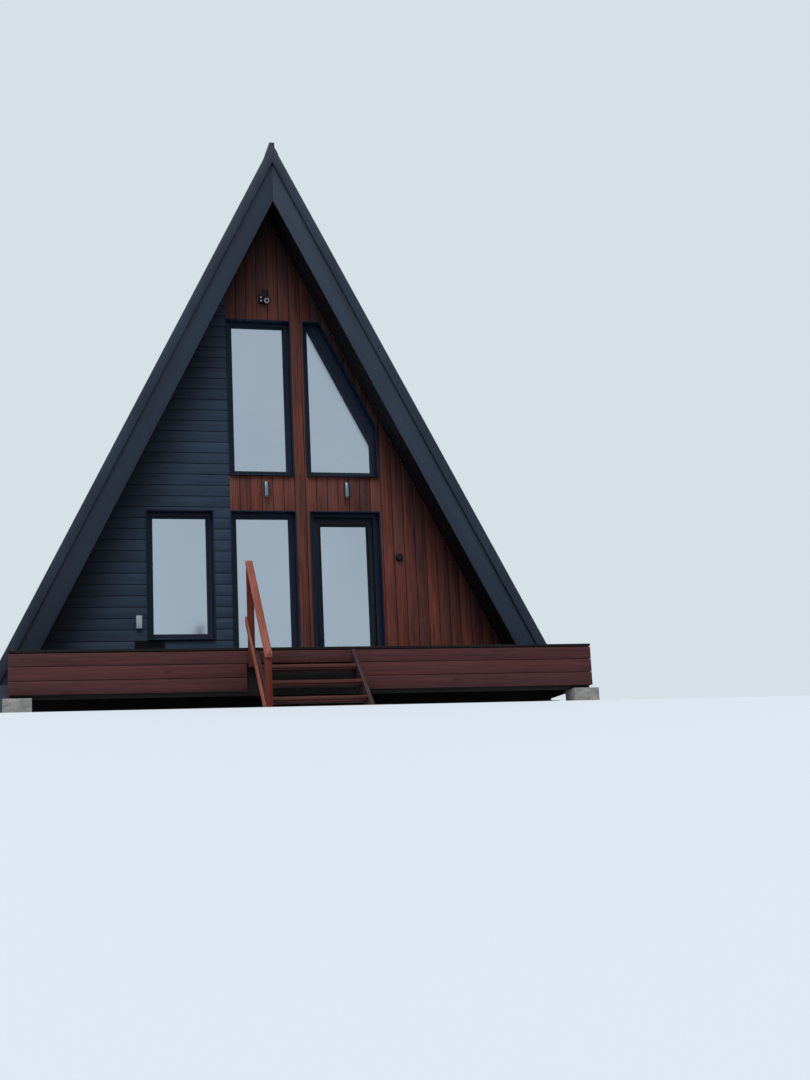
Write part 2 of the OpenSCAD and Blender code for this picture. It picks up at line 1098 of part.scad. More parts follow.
roof_left();
roof_right();
roof_sheet_left();
roof_sheet_right();
ridge_cap();
barge_front_left();
barge_front_right();
barge_back_left();
barge_back_right();
verge_flashings();
soffits();
eave_boards();
ground_floor();
upper_floor();
floor_beams();
wall_front_left();
wall_front_piers();
wall_front_right();
wall_front_band();
wall_front_upper_right();
wall_front_gable();
siding_dark_front();
siding_red_front();
wall_back_ground();
wall_back_upper();
siding_dark_back();
window_low_left();
window_low_mid();
window_up_left();
window_up_right();
windows_back();
glass_ground();
glass_upper();
door_frame();
door_leaf();
door_glass();
door_handle();
deck_boards();
deck_joists();
deck_beams();
fascia_front();
fascia_sides();
footings();
stringers();
treads();
stair_posts();
stair_rails();
wall_lamps();
security_light();
junction_box();
wall_socket();
vent_grille();
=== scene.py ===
import json
import math
import random

import bmesh
import bpy
from mathutils import Matrix, Vector

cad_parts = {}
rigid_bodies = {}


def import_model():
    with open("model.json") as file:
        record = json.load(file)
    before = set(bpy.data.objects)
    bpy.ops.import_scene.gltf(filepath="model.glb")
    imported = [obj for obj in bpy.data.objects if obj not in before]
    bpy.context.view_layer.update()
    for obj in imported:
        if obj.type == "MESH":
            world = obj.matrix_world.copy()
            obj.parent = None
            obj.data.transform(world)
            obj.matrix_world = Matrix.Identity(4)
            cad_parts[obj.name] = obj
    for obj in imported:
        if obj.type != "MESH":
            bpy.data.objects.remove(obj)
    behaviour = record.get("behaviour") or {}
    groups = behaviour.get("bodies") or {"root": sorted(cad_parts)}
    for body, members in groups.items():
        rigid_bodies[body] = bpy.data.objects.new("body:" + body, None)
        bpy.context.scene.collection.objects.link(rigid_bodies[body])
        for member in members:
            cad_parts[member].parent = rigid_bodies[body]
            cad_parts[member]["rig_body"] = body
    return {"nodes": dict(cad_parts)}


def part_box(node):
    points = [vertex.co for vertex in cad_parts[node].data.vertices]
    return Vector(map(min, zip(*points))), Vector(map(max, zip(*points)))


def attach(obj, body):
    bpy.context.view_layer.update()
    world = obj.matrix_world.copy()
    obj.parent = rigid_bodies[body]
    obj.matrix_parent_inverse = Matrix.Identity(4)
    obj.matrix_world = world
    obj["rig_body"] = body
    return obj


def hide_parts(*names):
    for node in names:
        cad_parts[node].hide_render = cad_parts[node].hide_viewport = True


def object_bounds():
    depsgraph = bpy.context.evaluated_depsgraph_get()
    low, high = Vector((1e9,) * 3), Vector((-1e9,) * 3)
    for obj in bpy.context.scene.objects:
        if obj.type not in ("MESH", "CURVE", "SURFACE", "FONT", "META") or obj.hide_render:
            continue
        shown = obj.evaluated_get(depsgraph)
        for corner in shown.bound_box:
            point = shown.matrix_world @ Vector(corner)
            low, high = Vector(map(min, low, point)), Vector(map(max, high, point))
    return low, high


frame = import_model()
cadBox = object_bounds()
scene = bpy.context.scene
print("frame loaded:", len(frame["nodes"]), "nodes")

mm = 0.001     # the script's lengths are in metres

# places that the frame gives, in metres
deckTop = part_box("deck_boards")[1].z
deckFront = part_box("deck_boards")[0].y
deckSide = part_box("deck_boards")[1].x
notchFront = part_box("fascia_sides")[1].y     # where the terrace narrows beside the roof's feet
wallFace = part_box("siding_red_front")[0].y
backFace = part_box("siding_dark_back")[1].y
bargeLow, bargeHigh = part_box("barge_front_right")
eaveZ = bargeLow.z
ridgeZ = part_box("verge_flashings")[1].z
roofTan = (bargeHigh.z - bargeLow.z) / bargeHigh.x
pitch = math.atan(roofTan)

# layers of the roof, square to the slope from the outer plane
roofLayers = {
    "soffitBack": 328 * mm,
    "soffitFace": 348 * mm,
    "bargeEdge": 368 * mm,
    "slantWindow": 420 * mm,
}


def planeHeight(x, off):     # height of a roof layer at a distance from the middle
    return ridgeZ - off / math.cos(pitch) - abs(x) * roofTan


def planeReach(z, off):     # half width of a roof layer at a height
    return (ridgeZ - off / math.cos(pitch) - z) / roofTan


# camera first: it stands below the level of the house and looks up and to the right
cameraPlace = {
    "sensor": 36,            # millimetres along the picture's long side
    "lens": 52.1,            # millimetres
    "aside": -3.448,         # metres from the ridge's plane
    "ahead": 17.783,         # metres in front of the terrace's edge
    "below": 2.546,          # metres below the terrace's boards
    "turn": 14.57,           # degrees to the right
    "tilt": 11.76,           # degrees upwards
    "roll": -2.74,           # degrees
    "farthest": 400,         # metres that it sees
}


def makeCamera(place):
    data = bpy.data.cameras.new("camera")
    data.sensor_width = place["sensor"]
    data.lens = place["lens"]
    data.clip_end = place["farthest"]
    camera = bpy.data.objects.new("camera", data)
    turned = (Matrix.Rotation(math.radians(-place["turn"]), 4, "Z")
              @ Matrix.Rotation(math.radians(90 + place["tilt"]), 4, "X")
              @ Matrix.Rotation(math.radians(place["roll"]), 4, "Z"))
    spot = (place["aside"], deckFront - place["ahead"], deckTop - place["below"])
    camera.matrix_world = Matrix.Translation(spot) @ turned
    scene.collection.objects.link(camera)
    scene.camera = camera


makeCamera(cameraPlace)


# helpers for materials

def hexColor(code):     # sRGB hex to linear
    parts = [int(code[i:i + 2], 16) / 255 for i in (1, 3, 5)]
    return [c / 12.92 if c <= 0.04045 else ((c + 0.055) / 1.055) ** 2.4 for c in parts] + [1.0]


def addNode(tree, kind, links=None, **settings):     # inputs 6 and 7 of a Mix node are its two colours
    node = tree.nodes.new(kind)
    for key, value in settings.items():
        setattr(node, key, value)
    for key, value in (links or {}).items():
        if isinstance(value, bpy.types.NodeSocket):
            tree.links.new(value, node.inputs[key])
        else:
            node.inputs[key].default_value = value
    return node


def startMaterial(name, **sockets):     # sockets such as Roughness=0.5 go on the shader itself
    material = bpy.data.materials.new(name)
    material.use_nodes = True
    tree = material.node_tree
    shader = tree.nodes["Principled BSDF"]
    for key, value in sockets.items():
        shader.inputs[key.replace("_", " ")].default_value = value
    return material, tree, shader


# painted shade: boards are darkened within this reach of the soffit, where the overhang shades the wall
soffitShadeReach = 0.6                # metres from the soffit, square to the slope
belowShadeBlend = 20 * mm            # the painted shade below a given height fades out this far above and below it
knotMm = (520, 150)               # one knot in this length and width of a board
boardShift = (13.1, 7.7, 29.3)    # metres that the pattern moves from tone 0 to tone 1


def alongGrain(axis, sizes):     # scales of a pattern that is drawn out along one axis
    length, width = sizes
    return [1 / ((length if name == axis else width) * mm) for name in "xyz"]


# painted shade under the overhang: a factor that darkens a colour towards the soffit
def paintedSoffitShade(tree, place, least):     # 1 on the open wall, down to the least beside the soffit
    parts = addNode(tree, "ShaderNodeSeparateXYZ", {0: place}).outputs
    aside = addNode(tree, "ShaderNodeMath", {0: parts["X"]}, operation="ABSOLUTE").outputs[0]
    height = addNode(tree, "ShaderNodeMath", {0: aside, 1: roofTan, 2: parts["Z"]},
                     operation="MULTIPLY_ADD").outputs[0]
    top = planeHeight(0, roofLayers["soffitFace"])
    return addNode(tree, "ShaderNodeMapRange", {
        "Value": height, "From Min": top - soffitShadeReach / math.cos(pitch), "From Max": top,
        "To Min": 1, "To Max": least}).outputs[0]


def boardMaterial(name, look):
    # each board starts its figure somewhere else and has its own tone, from the mesh's tone attribute
    material, tree, shader = startMaterial(name, Specular_IOR_Level=look.get("gloss", 0.3))
    place = addNode(tree, "ShaderNodeTexCoord").outputs["Object"]
    turned = addNode(tree, "ShaderNodeMapping", {"Vector": place, "Rotation": look.get("turn", (0, 0, 0))})
    tone = addNode(tree, "ShaderNodeAttribute", attribute_name="tone").outputs["Fac"]
    shifted = addNode(tree, "ShaderNodeVectorMath", {0: tone, 1: boardShift, 2: turned.outputs[0]},
                      operation="MULTIPLY_ADD").outputs[0]
    drawn = {}
    for key, sizes in (("figure", look["figureMm"]), ("fibre", look["fibreMm"]), ("blotch", look["blotchMm"]),
                       ("knots", knotMm)):
        drawn[key] = addNode(tree, "ShaderNodeVectorMath", {0: shifted, 1: alongGrain(look["grain"], sizes)},
                             operation="MULTIPLY").outputs[0]
    knots = addNode(tree, "ShaderNodeTexVoronoi", {"Vector": drawn["knots"], "Scale": 1.0}).outputs[0]
    figure, fibre, blotch = [
        addNode(tree, "ShaderNodeTexNoise", {
            "Vector": drawn[key], "Scale": 1.0, "Detail": 4.0, "Roughness": 0.6}).outputs["Fac"]
        for key in ("figure", "fibre", "blotch")]
    # from the dark to the light colour, by board and by figure, with darker fibres
    streaks = addNode(tree, "ShaderNodeMapRange", {
        "Value": figure, "From Min": 0.32, "From Max": 0.68, "To Max": 1 - look["boardShare"]}).outputs[0]
    factor = addNode(tree, "ShaderNodeMath", {0: tone, 1: look["boardShare"], 2: streaks},
                     operation="MULTIPLY_ADD", use_clamp=True).outputs[0]
    color = addNode(tree, "ShaderNodeMix", {0: factor, 6: hexColor(look["dark"]), 7: hexColor(look["light"])},
                    data_type="RGBA").outputs[2]
    lines = addNode(tree, "ShaderNodeMapRange", {
        "Value": fibre, "From Min": 0.35, "From Max": 0.65, "To Min": 1 - look["fibreDepth"]}).outputs[0]
    color = addNode(tree, "ShaderNodeVectorMath", {0: color, "Scale": lines}, operation="SCALE").outputs[0]
    # knots, then worn places
    spots = addNode(tree, "ShaderNodeMapRange", {
        "Value": knots, "From Min": 0.05, "From Max": 0.11, "To Min": look["knots"], "To Max": 0}).outputs[0]
    worn = addNode(tree, "ShaderNodeMapRange", {
        "Value": blotch, "From Min": 0.48, "From Max": 0.72, "To Max": look["wornShare"]}).outputs[0]
    for amount, cover in ((spots, look["knotColor"]), (worn, look["worn"])):
        color = addNode(tree, "ShaderNodeMix", {0: amount, 6: color, 7: hexColor(cover)},
                        data_type="RGBA").outputs[2]
    # painted shade: the colour is darkened towards the soffit
    if "soffitShade" in look:
        lit = paintedSoffitShade(tree, place, look["soffitShade"])
        color = addNode(tree, "ShaderNodeVectorMath", {0: color, "Scale": lit}, operation="SCALE").outputs[0]
    # painted shade: nearly black below a given height, for the dark under the floor and the terrace
    if "shadedBelowZ" in look:
        edge = look["shadedBelowZ"]
        height = addNode(tree, "ShaderNodeSeparateXYZ", {0: place}).outputs["Z"]
        foot = addNode(tree, "ShaderNodeMapRange", {
            "Value": height, "From Min": edge - belowShadeBlend, "From Max": edge + belowShadeBlend,
            "To Min": 1, "To Max": 0}).outputs[0]
        color = addNode(tree, "ShaderNodeMix", {0: foot, 6: color, 7: hexColor(look["belowShadeColor"])},
                        data_type="RGBA").outputs[2]
    tree.links.new(color, shader.inputs["Base Color"])
    smooth, rough = look["roughness"]
    gloss = addNode(tree, "ShaderNodeMapRange", {
        "Value": blotch, "From Min": 0.3, "From Max": 0.7, "To Min": smooth, "To Max": rough})
    tree.links.new(gloss.outputs[0], shader.inputs["Roughness"])
    relief = addNode(tree, "ShaderNodeMath", {0: fibre, 1: figure}, operation="ADD").outputs[0]
    bump = addNode(tree, "ShaderNodeBump", {
        "Height": relief, "Strength": 0.6, "Distance": look["reliefMm"] * mm})
    tree.links.new(bump.outputs[0], shader.inputs["Normal"])
    return material


def smoothMaterial(name, look, **sockets):
    # coated, cast or moulded skins: an even colour with soft blotches, fine grain and dust
    material, tree, shader = startMaterial(name, **sockets)
    place = addNode(tree, "ShaderNodeTexCoord").outputs["Object"]
    scales = [1 / (size * mm) for size in look["blotchMm"]]
    drawn = addNode(tree, "ShaderNodeVectorMath", {0: place, 1: scales}, operation="MULTIPLY").outputs[0]
    blotch = addNode(tree, "ShaderNodeTexNoise", {
        "Vector": drawn, "Scale": 1.0, "Detail": 5.0, "Roughness": 0.62}).outputs["Fac"]
    grain = addNode(tree, "ShaderNodeTexNoise", {
        "Vector": place, "Scale": 1 / (look["grainMm"] * mm), "Detail": 3.0}).outputs["Fac"]
    shade = addNode(tree, "ShaderNodeMapRange", {
        "Value": blotch, "From Min": 0.35, "From Max": 0.68}).outputs[0]
    color = addNode(tree, "ShaderNodeMix", {0: shade, 6: hexColor(look["dark"]), 7: hexColor(look["light"])},
                    data_type="RGBA").outputs[2]
    dust = addNode(tree, "ShaderNodeMapRange", {
        "Value": grain, "From Min": 0.3, "From Max": 0.75, "To Max": look["speckle"]}).outputs[0]
    color = addNode(tree, "ShaderNodeMix", {0: dust, 6: color, 7: hexColor(look["speckleColor"])},
                    data_type="RGBA").outputs[2]
    tree.links.new(color, shader.inputs["Base Color"])
    smooth, rough = look["roughness"]
    gloss = addNode(tree, "ShaderNodeMapRange", {
        "Value": blotch, "From Min": 0.3, "From Max": 0.7, "To Min": smooth, "To Max": rough})
    tree.links.new(gloss.outputs[0], shader.inputs["Roughness"])
    fine = addNode(tree, "ShaderNodeBump", {
        "Height": grain, "Strength": 0.5, "Distance": look["grainDepthMm"] * mm})
    broad = addNode(tree, "ShaderNodeBump", {
        "Height": blotch, "Strength": 0.5, "Distance": look["waveDepthMm"] * mm, "Normal": fine.outputs[0]})
    tree.links.new(broad.outputs[0], shader.inputs["Normal"])
    return material


# spruce cladding under an opaque anthracite stain: the grain shows only as relief and a faint streak,
# both drawn coarser than the real 3 mm fibre, with a painted shade that darkens it towards the soffit
darkCladding = {
    "grain": "x", "dark": "#182335", "light": "#293d51", "worn": "#374a5c", "wornShare": 0.35,
    "knotColor": "#141f29", "knots": 0.5, "boardShare": 0.45, "fibreDepth": 0.25,
    "figureMm": (900, 40), "fibreMm": (340, 16), "blotchMm": (900, 420),
    "roughness": (0.55, 0.72), "reliefMm": 1.2, "gloss": 0.25, "soffitShade": 0.4}
darkBoards = boardMaterial("anthracite_stained_cladding", darkCladding)

# larch boards under a translucent red-brown stain: orange to purple-brown from board to board, with a
# dark figure, drawn coarser than the real 3 mm fibre, and a painted shade, nearly black beside the soffit
redCladding = {
    "grain": "z", "dark": "#362123", "light": "#844231", "worn": "#5c423f", "wornShare": 0.4,
    "knotColor": "#23110d", "knots": 0.75, "boardShare": 0.5, "fibreDepth": 0.55,
    "figureMm": (1100, 44), "fibreMm": (420, 17), "blotchMm": (1300, 500),
    "roughness": (0.5, 0.7), "reliefMm": 1.0, "gloss": 0.2, "soffitShade": 0.18}
redBoards = boardMaterial("red_brown_stained_cladding", redCladding)

# tongues at the bottom of the joints: nearly black, a painted shade for the deep joints
darkTongues = boardMaterial("anthracite_tongues_painted_shade", {
    **darkCladding, "dark": "#080c12", "light": "#0f151d", "worn": "#141a21", "knotColor": "#06090d"})
redTongues = boardMaterial("red_brown_tongues_painted_shade", {
    **redCladding, "dark": "#0e0708", "light": "#1c0e0d", "worn": "#1a1110", "knotColor": "#0a0505"})

# the soffit's red-brown stain, darkened nearly black with painted shade for the shade under the overhang
soffitBoards = boardMaterial("red_brown_stained_soffit_with_painted_shade", {
    "grain": "x", "turn": (0, pitch, 0), "dark": "#08060a", "light": "#160d15", "worn": "#100b12",
    "wornShare": 0.3, "knotColor": "#050305", "knots": 0.5, "boardShare": 0.4, "fibreDepth": 0.3,
    "figureMm": (1100, 30), "fibreMm": (300, 6), "blotchMm": (1300, 500),
    "roughness": (0.6, 0.75), "reliefMm": 0.8, "gloss": 0.15})

# terrace fascia: thick red-brown stain gone dull in the rain
fasciaBoards = boardMaterial("rain_dulled_fascia_stain", {
    "grain": "x", "dark": "#2e181a", "light": "#5b2e2c", "worn": "#4b302f", "wornShare": 0.45,
    "knotColor": "#1b0c0d", "knots": 0.6, "boardShare": 0.35, "fibreDepth": 0.35,
    "figureMm": (1200, 28), "fibreMm": (280, 6), "blotchMm": (1100, 260),
    "roughness": (0.6, 0.8), "reliefMm": 1.2, "gloss": 0.2})

# walked terrace boards: the stain is worn through to grey wood
deckLook = {
    "grain": "x", "dark": "#2a1f1e", "light": "#51403c", "worn": "#66605c", "wornShare": 0.7,
    "knotColor": "#1c1413", "knots": 0.6, "boardShare": 0.4, "fibreDepth": 0.35,
    "figureMm": (1200, 26), "fibreMm": (260, 5), "blotchMm": (900, 220),
    "roughness": (0.65, 0.85), "reliefMm": 1.5}
deckWood = boardMaterial("walked_terrace_boards", deckLook)

# their edges and undersides: nearly black, a painted shade
deckEdge = boardMaterial("terrace_board_edges_painted_shade", {
    **deckLook, "dark": "#0c090a", "light": "#1b1515", "worn": "#261f1f", "wornShare": 0.3,
    "knotColor": "#0a0808", "knots": 0.4, "fibreDepth": 0.3, "roughness": (0.7, 0.85), "reliefMm": 1.2,
    "gloss": 0.15})

# stair timber: fresher red-brown stain, rubbed lighter where feet and hands pass
stairAcross = {
    "grain": "x", "dark": "#2c1815", "light": "#633327", "worn": "#5b403a", "wornShare": 0.4,
    "knotColor": "#190a09", "knots": 0.6, "boardShare": 0.4, "fibreDepth": 0.35,
    "figureMm": (900, 24), "fibreMm": (240, 5), "blotchMm": (700, 200),
    "roughness": (0.55, 0.75), "reliefMm": 1.0, "gloss": 0.2}
treadWood = boardMaterial("stained_stair_treads", stairAcross)
postWood = boardMaterial("stained_stair_posts", {
    **stairAcross, "grain": "z", "dark": "#391008", "light": "#6f2516"})
railLow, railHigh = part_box("stair_rails")
newelTop = 0.62      # metres from the ground to the handrail over the lower post
railPitch = math.atan2(railHigh.z - newelTop, railHigh.y - railLow.y)
railWood = boardMaterial("stained_handrail", {
    **stairAcross, "grain": "y", "turn": (-railPitch, 0, 0), "dark": "#602e23", "light": "#a35947",
    "worn": "#966556"})
stringerPitch = math.radians(39.3)     # slope of the stair
stringerWood = boardMaterial("rain_greyed_stringers", {
    **stairAcross, "grain": "y", "turn": (-stringerPitch, 0, 0), "dark": "#241617", "light": "#3f2a28",
    "worn": "#5a4a43", "wornShare": 0.5})

# barge boards: opaque slate-grey paint on planed timber, brushed along the slope
bargePaint = {
    "grain": "x", "dark": "#172231", "light": "#243445", "worn": "#303f51", "wornShare": 0.3,
    "knotColor": "#141e2a", "knots": 0.3, "boardShare": 0.25, "fibreDepth": 0.14,
    "figureMm": (1600, 60), "fibreMm": (400, 9), "blotchMm": (1500, 500),
    "roughness": (0.5, 0.65), "reliefMm": 0.6}
bargeRight = boardMaterial("slate_painted_barge_right", {**bargePaint, "turn": (0, -pitch, 0)})
# painted shade: the left barge boards take the same paint, darker
bargeLeft = boardMaterial("slate_painted_barge_left_with_painted_shade", {
    **bargePaint, "turn": (0, pitch, 0), "dark": "#111b2a", "light": "#1c2b3b", "worn": "#253447"})
eavePaint = boardMaterial("slate_painted_eave_boards", {**bargePaint, "grain": "y"})

# bare planed spruce inside: pale yellow wood with brown knots, with a painted shade, nearly black, below
# about the terrace's level
spruce = {
    "grain": "z", "dark": "#a57c50", "light": "#c9a172", "worn": "#b08a5e", "wornShare": 0.3,
    "knotColor": "#6a4526", "knots": 0.8, "boardShare": 0.3, "fibreDepth": 0.18,
    "figureMm": (900, 22), "fibreMm": (260, 5), "blotchMm": (900, 400),
    "roughness": (0.5, 0.65), "reliefMm": 0.4, "belowShadeColor": "#14100e"}
spruceUpright = boardMaterial("planed_spruce_lining_with_painted_shade_below", {
    **spruce, "shadedBelowZ": deckTop + 35 * mm})
spruceLengthways = boardMaterial("planed_spruce_floor_with_painted_shade_below", {
    **spruce, "grain": "y", "shadedBelowZ": deckTop + 15 * mm})
roofTimber = boardMaterial("planed_spruce_roof_with_painted_shade_below", {
    **spruce, "grain": "y", "shadedBelowZ": deckTop - 60 * mm})

# carriers under the terrace: impregnated timber, darkened nearly black as painted shade for the dark under
# the terrace
shadedBearerTimber = boardMaterial("impregnated_bearers_with_painted_shade", {
    **spruce, "grain": "y", "dark": "#0a0707", "light": "#171110", "worn": "#110e0e",
    "knotColor": "#050404", "roughness": (0.7, 0.85)})

# roof sheet and flashings: steel with a matt polyester coat, dusty, streaked down the slope by rain
coatedSteel = smoothMaterial("matt_coated_roof_steel", {
    "dark": "#15202c", "light": "#202d3b", "speckleColor": "#32404b", "speckle": 0.2,
    "blotchMm": (420, 420, 1400), "grainMm": 6, "grainDepthMm": 0.15, "waveDepthMm": 6,
    "roughness": (0.45, 0.6)}, Specular_IOR_Level=0.25)

# window frames and linings: aluminium under satin anthracite powder coat, faint orange peel
coatLook = {
    "dark": "#071323", "light": "#0d1b2e", "speckleColor": "#16253a", "speckle": 0.12,
    "blotchMm": (300, 300, 900), "grainMm": 4, "grainDepthMm": 0.08, "waveDepthMm": 0.5,
    "roughness": (0.38, 0.5)}
powderCoat = smoothMaterial("satin_anthracite_powder_coat", coatLook, Specular_IOR_Level=0.16)

# door and sash profiles beside the glass: the same coat, darkened as painted shade for the shade beside the
# glass
sashCoat = smoothMaterial("anthracite_sash_coat_painted_shade", {
    **coatLook, "dark": "#050c18", "light": "#091421", "speckleColor": "#111b28"}, Specular_IOR_Level=0.16)

# glazing gaskets: extruded rubber, dull black
rubber = smoothMaterial("glazing_rubber", {
    "dark": "#06070a", "light": "#0b0c10", "speckleColor": "#15171c", "speckle": 0.2,
    "blotchMm": (60, 60, 60), "grainMm": 3, "grainDepthMm": 0.05, "waveDepthMm": 0.1,
    "roughness": (0.75, 0.85)})

# lamp housings: aluminium tube, brushed lengthways, so that the sky is drawn out down its sides
lampMetal = smoothMaterial("brushed_lamp_aluminium", {
    "dark": "#5f757f", "light": "#7b919b", "speckleColor": "#4d5f68", "speckle": 0.25,
    "blotchMm": (5, 5, 160), "grainMm": 2, "grainDepthMm": 0.03, "waveDepthMm": 0.1,
    "roughness": (0.3, 0.42)}, Metallic=1.0)

# moulded plastics: black with fine spark texture, and pale grey gone slightly yellow
plasticLook = {
    "dark": "#040406", "light": "#07080b", "speckleColor": "#0e1015", "speckle": 0.25,
    "blotchMm": (70, 70, 70), "grainMm": 2, "grainDepthMm": 0.15, "waveDepthMm": 0.1,
    "roughness": (0.5, 0.65)}
blackPlastic = smoothMaterial("spark_textured_black_plastic", plasticLook, Specular_IOR_Level=0.2)
ventPlastic = smoothMaterial("sun_dulled_black_plastic", {
    **plasticLook, "dark": "#050507", "light": "#0a0b0d", "speckleColor": "#121418",
    "roughness": (0.7, 0.8)}, Specular_IOR_Level=0.15)
palePlastic = smoothMaterial("weathered_pale_plastic", {
    "dark": "#8b969f", "light": "#a3adb4", "speckleColor": "#75808a", "speckle": 0.2,
    "blotchMm": (60, 60, 90), "grainMm": 2, "grainDepthMm": 0.1, "waveDepthMm": 0.1,
    "roughness": (0.45, 0.6)})

# footings: cast concrete with float marks, fine pits and damp rising from the ground
concrete = smoothMaterial("cast_concrete", {
    "dark": "#6d6c68", "light": "#9d9b95", "speckleColor": "#55534f", "speckle": 0.5,
    "blotchMm": (160, 160, 90), "grainMm": 9, "grainDepthMm": 2.0, "waveDepthMm": 4,
    "roughness": (0.8, 0.95)})

# fixings in the terrace: stainless steel, scratched by the driver and by feet
screwLook = {
    "dark": "#8f8f8d", "light": "#b4b4b1", "speckleColor": "#6d6c69", "speckle": 0.3,
    "blotchMm": (8, 8, 8), "grainMm": 2, "grainDepthMm": 0.05, "waveDepthMm": 0.05,
    "roughness": (0.3, 0.45)}
stainless = smoothMaterial("stainless_screw_heads", screwLook, Metallic=1.0)

# fixings in the fascia: bronze-coated screws, gone dull
coatedScrews = smoothMaterial("bronze_coated_screws", {
    **screwLook, "dark": "#2b1e19", "light": "#3d2a22", "speckleColor": "#1c1512",
    "roughness": (0.5, 0.65)}, Metallic=0.6)

# handle: satin anodised aluminium
anodised = smoothMaterial("satin_anodised_aluminium", {
    "dark": "#8d9094", "light": "#a7aaad", "speckleColor": "#7c7f83", "speckle": 0.2,
    "blotchMm": (40, 40, 40), "grainMm": 1, "grainDepthMm": 0.02, "waveDepthMm": 0.05,
    "roughness": (0.28, 0.36)}, Metallic=1.0)

# panes: insulating glass with a metal-oxide sun coat, which mirrors the pale sky and lets a little light in
sunGlass = {
    "dark": "#c1ccd8",
    "light": "#c9d4de",
    "waveMm": 1430,          # the panes are faintly wavy and uneven in tone over this length
    "waveDepthMm": 2,
}


def makeGlass(look):
    material, tree, shader = startMaterial(
        "sun_coated_insulating_glass", Metallic=0.8, Roughness=0.12, IOR=1.5, Transmission_Weight=1.0)
    place = addNode(tree, "ShaderNodeTexCoord").outputs["Object"]
    wave = addNode(tree, "ShaderNodeTexNoise", {
        "Vector": place, "Scale": 1 / (look["waveMm"] * mm), "Detail": 1.0}).outputs["Fac"]
    amount = addNode(tree, "ShaderNodeMapRange", {"Value": wave, "From Min": 0.3, "From Max": 0.7}).outputs[0]
    color = addNode(tree, "ShaderNodeMix", {0: amount, 6: hexColor(look["dark"]), 7: hexColor(look["light"])},
                    data_type="RGBA").outputs[2]
    tree.links.new(color, shader.inputs["Base Color"])
    bump = addNode(tree, "ShaderNodeBump", {
        "Height": wave, "Strength": 0.3, "Distance": look["waveDepthMm"] * mm})
    tree.links.new(bump.outputs[0], shader.inputs["Normal"])
    return material


glass = makeGlass(sunGlass)

# lamp covers: frosted glass, slightly warm
lensGlass = smoothMaterial("frosted_lamp_glass", {
    "dark": "#b9bab8", "light": "#cfcec9", "speckleColor": "#9d9d98", "speckle": 0.15,
    "blotchMm": (25, 25, 25), "grainMm": 2, "grainDepthMm": 0.05, "waveDepthMm": 0.1,
    "roughness": (0.25, 0.35)}, Transmission_Weight=0.3, IOR=1.48)
print("materials made")


# helpers for shapes

sharpAngle = math.radians(25)      # edges that are bent more than this are eased
smoothAngle = math.radians(35)     # faces that meet at less than this are shaded as one


def boardsOf(bm):     # the vertices of every separate board, one board after the other
    seen = set()
    for start in bm.verts:
        if start in seen:
            continue
        seen.add(start)
        board = [start]
        for vert in board:     # the list grows while it is read
            for edge in vert.link_edges:
                other = edge.other_vert(vert)
                if other not in seen:
                    seen.add(other)
                    board.append(other)
        yield board


def turnOutwards(bm):     # recalculated normals can leave a thin board inside out
    bmesh.ops.recalc_face_normals(bm, faces=bm.faces[:])
    bm.normal_update()
    for board in boardsOf(bm):
        base = board[0].co
        faces = list({face for vert in board for face in vert.link_faces})
        if sum((f.calc_center_median() - base).dot(f.normal) * f.calc_area() for f in faces) < 0:
            bmesh.ops.reverse_faces(bm, faces=faces)


def finishPiece(name, bm, material, body="house", stands=()):
    turnOutwards(bm)
    mesh = bpy.data.meshes.new(name)
    bm.to_mesh(mesh)
    bm.free()
    mesh.shade_smooth()
    mesh.set_sharp_from_angle(angle=smoothAngle)
    mesh.materials.append(material)
    piece = bpy.data.objects.new(name, mesh)
    scene.collection.objects.link(piece)
    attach(piece, body)
    if stands:
        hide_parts(*stands)
    return piece


def dress(node, material):     # a CAD node that stays, with its finish
    materials = frame["nodes"][node].data.materials
    materials.clear()
    materials.append(material)


def everything(bm):
    return bm.verts[:] + bm.edges[:] + bm.faces[:]


def vertsOf(made):     # the vertices among what an operator made
    return [g for g in made["geom"] if isinstance(g, bmesh.types.BMVert)]


def toneByBoard(bm, seed):     # every separate board gets one tone between 0 and 1
    dice = random.Random(seed)
    layer = bm.verts.layers.float.new("tone")
    for board in boardsOf(bm):
        tone = dice.random()
        for vert in board:
            vert[layer] = tone


def mergedCopy(*nodes):
    bm = bmesh.new()
    for node in nodes:
        bm.from_mesh(frame["nodes"][node].data)
    bmesh.ops.remove_doubles(bm, verts=bm.verts[:], dist=0.02 * mm)
    bmesh.ops.dissolve_limit(bm, angle_limit=0.005, verts=bm.verts[:], edges=bm.edges[:])
    return bm


def easeEdges(bm, edges, width, segments=2):
    bmesh.ops.bevel(bm, geom=edges, offset=width, offset_type="OFFSET", affect="EDGES", segments=segments,
                    profile=0.5, material=-1, clamp_overlap=True)


def outerEdges(bm):     # edges where the surface bends outwards
    return [e for e in bm.edges if e.is_manifold and e.calc_face_angle_signed(0) > sharpAngle]


def roundedNode(node, material, width, seed=None, segments=2):     # the same solid, its edges eased
    bm = mergedCopy(node)
    bmesh.ops.recalc_face_normals(bm, faces=bm.faces[:])
    easeEdges(bm, outerEdges(bm), width, segments)
    if seed is not None:
        toneByBoard(bm, seed)
    finishPiece(node + "_eased", bm, material, frame["nodes"][node]["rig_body"], [node])


def addBox(bm, low, high):
    low = Vector(low)
    high = Vector(high)
    size = Matrix.Diagonal((*(high - low), 1))
    bmesh.ops.create_cube(bm, size=1, matrix=Matrix.Translation((low + high) / 2) @ size)


